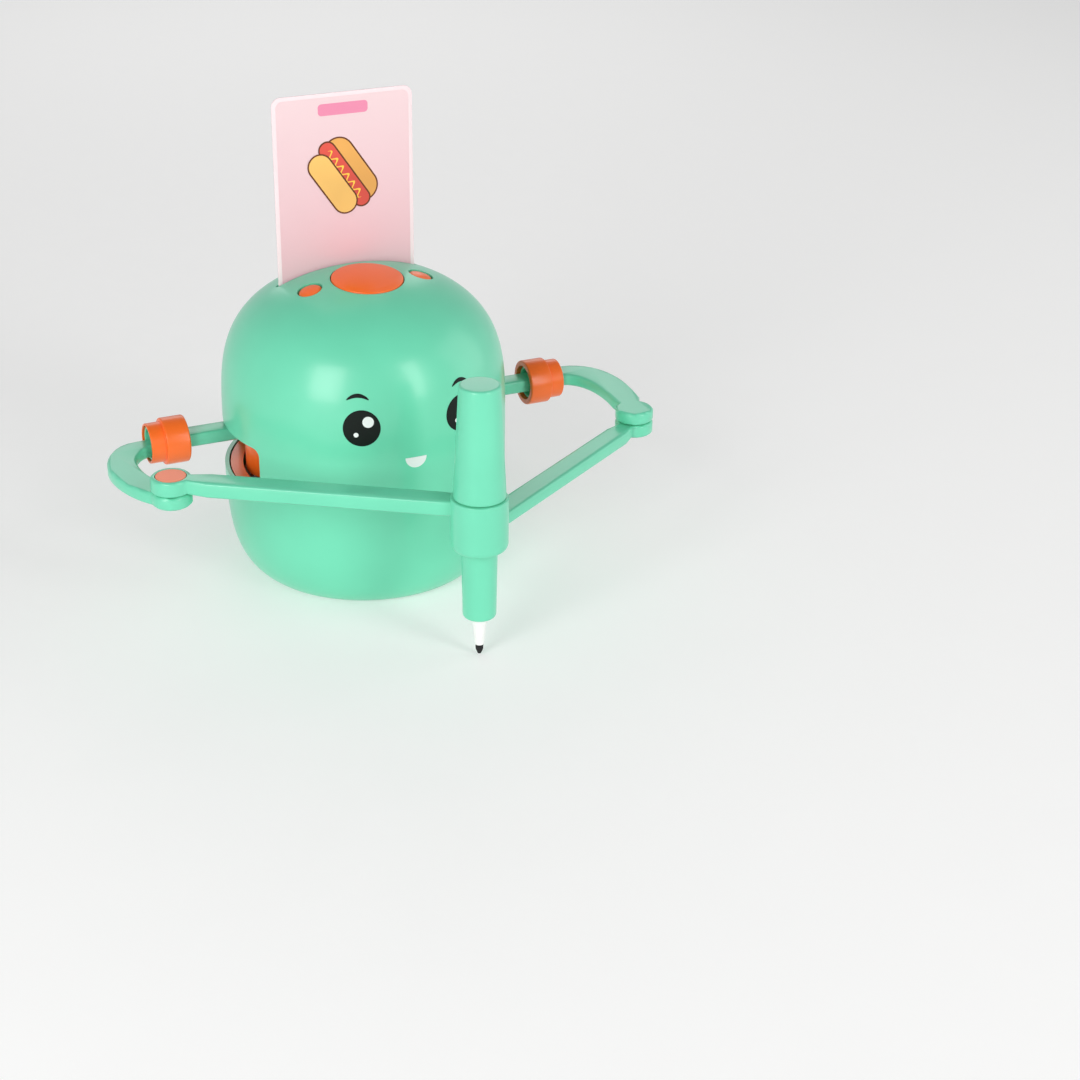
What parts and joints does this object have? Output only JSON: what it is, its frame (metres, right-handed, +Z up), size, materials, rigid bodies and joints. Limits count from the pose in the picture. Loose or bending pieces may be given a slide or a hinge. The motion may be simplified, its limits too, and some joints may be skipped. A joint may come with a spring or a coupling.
{
  "type": "desktop drawing robot",
  "caption": "Barrel-shaped drawing robot with a simple face, top buttons, a picture card in a head slot, and two jointed arms that meet at an upright pen.",
  "frame": {"origin": "centre of the barrel body on the surface it stands on", "axes": "+Z up; the face looks along -Y; +X is the right arm's side as seen from in front"},
  "size_m": [0.2131, 0.1619, 0.185],
  "materials": {
    "mint_plastic": "smooth glossy moulded ABS",
    "orange_plastic": "smooth satin moulded ABS",
    "white_plastic": "moulded, unpainted",
    "dark_plastic": "fine textured moulding",
    "grey_rubber": "matt",
    "circuit_board": "solder-resist lacquer",
    "zinc_plated_steel": "bright zinc plating",
    "battery_wrap": "printed shrink wrap over the metal can",
    "printed_card": "laminated printed card",
    "black_felt": "bonded fibre, soaked with ink"
  },
  "bodies": {
    "root": {"front_shell": "mint_plastic", "rear_shell": "mint_plastic", "base_plate": "dark_plastic", "battery_door": "dark_plastic", "battery_door_screw": "zinc_plated_steel", "battery_tray": "dark_plastic", "battery_cell_1": "battery_wrap", "battery_cell_2": "battery_wrap", "battery_cell_3": "battery_wrap", "foot_front_left": "grey_rubber", "foot_front_right": "grey_rubber", "foot_rear_left": "grey_rubber", "foot_rear_right": "grey_rubber", "chassis_plate": "white_plastic", "chassis_post_1": "white_plastic", "chassis_post_2": "white_plastic", "chassis_post_3": "white_plastic", "chassis_post_4": "white_plastic", "left_servo": "dark_plastic", "right_servo": "dark_plastic", "main_board": "circuit_board", "button_board": "circuit_board", "start_switch": "dark_plastic", "left_switch": "dark_plastic", "right_switch": "dark_plastic", "card_guide": "white_plastic", "card_reader_board": "circuit_board", "speaker": "dark_plastic", "left_window_lining": "orange_plastic", "right_window_lining": "orange_plastic", "switch_body": "zinc_plated_steel"},
    "start_button": {"start_button": "orange_plastic"},
    "left_button": {"left_button": "orange_plastic"},
    "right_button": {"right_button": "orange_plastic"},
    "picture_card": {"picture_card": "printed_card"},
    "power_switch": {"power_switch": "orange_plastic"},
    "left_upper_arm": {"left_shoulder_hub": "orange_plastic", "left_hub_screw": "zinc_plated_steel", "left_arm_stub": "mint_plastic", "left_arm_sleeve": "mint_plastic", "left_cuff": "orange_plastic", "left_upper_arm": "mint_plastic", "left_elbow_pin": "orange_plastic"},
    "right_upper_arm": {"right_shoulder_hub": "orange_plastic", "right_hub_screw": "zinc_plated_steel", "right_arm_stub": "mint_plastic", "right_arm_sleeve": "mint_plastic", "right_cuff": "orange_plastic", "right_upper_arm": "mint_plastic", "right_elbow_pin": "orange_plastic"},
    "left_forearm": {"left_forearm": "mint_plastic", "pen_holder": "mint_plastic", "pen_holder_nut": "mint_plastic"},
    "right_forearm": {"right_forearm": "mint_plastic"},
    "pen": {"pen_upper_sleeve": "mint_plastic", "pen_lower_sleeve": "mint_plastic", "felt_pen_barrel": "white_plastic", "felt_pen_nose": "white_plastic", "pen_nib": "black_felt", "ink_core": "black_felt"}
  },
  "joints": [
    {"name": "left_shoulder", "type": "hinge", "parent": "root", "child": "left_upper_arm", "pos_m": [-0.032, 0.0104, 0.057], "axis": [0, 0, 1], "range_deg": [-10, 14]},
    {"name": "right_shoulder", "type": "hinge", "parent": "root", "child": "right_upper_arm", "pos_m": [0.032, 0.0104, 0.057], "axis": [0, 0, 1], "range_deg": [-12.6, 9]},
    {"name": "left_elbow", "type": "hinge", "parent": "left_upper_arm", "child": "left_forearm", "pos_m": [-0.0876, -0.0346, 0.0607], "axis": [0, 0, 1], "range_deg": [-24.4, 17.5]},
    {"name": "right_elbow", "type": "hinge", "parent": "right_upper_arm", "child": "right_forearm", "pos_m": [0.1006, -0.0356, 0.052], "axis": [0, 0, 1], "range_deg": [-16, 22.3]},
    {"name": "start_button_press", "type": "slide", "parent": "root", "child": "start_button", "axis": [0, 0.081, -0.9967], "range_m": [0, 0.0012], "stiffness_N_per_m": 300, "springref_m": -0.0015},
    {"name": "left_button_press", "type": "slide", "parent": "root", "child": "left_button", "axis": [0.2735, 0.061, -0.9599], "range_m": [0, 0.0012], "stiffness_N_per_m": 300, "springref_m": -0.0015},
    {"name": "right_button_press", "type": "slide", "parent": "root", "child": "right_button", "axis": [-0.2735, 0.061, -0.9599], "range_m": [0, 0.0012], "stiffness_N_per_m": 300, "springref_m": -0.0015},
    {"name": "card_slide", "type": "slide", "parent": "root", "child": "picture_card", "axis": [0, 0, 1], "range_m": [0, 0.03]},
    {"name": "pen_slide", "type": "slide", "parent": "left_forearm", "child": "pen", "axis": [0, 0, 1], "range_m": [0, 0.05]},
    {"name": "power_switch_slide", "type": "slide", "parent": "root", "child": "power_switch", "axis": [1, 0, 0], "range_m": [0, 0.004]}
  ],
  "couplings": [
    {"joint": "right_shoulder", "follows": "left_shoulder", "ratio": -0.8836},
    {"joint": "left_elbow", "follows": "left_shoulder", "ratio": -1.7209},
    {"joint": "right_elbow", "follows": "left_shoulder", "ratio": 1.5719}
  ]
}
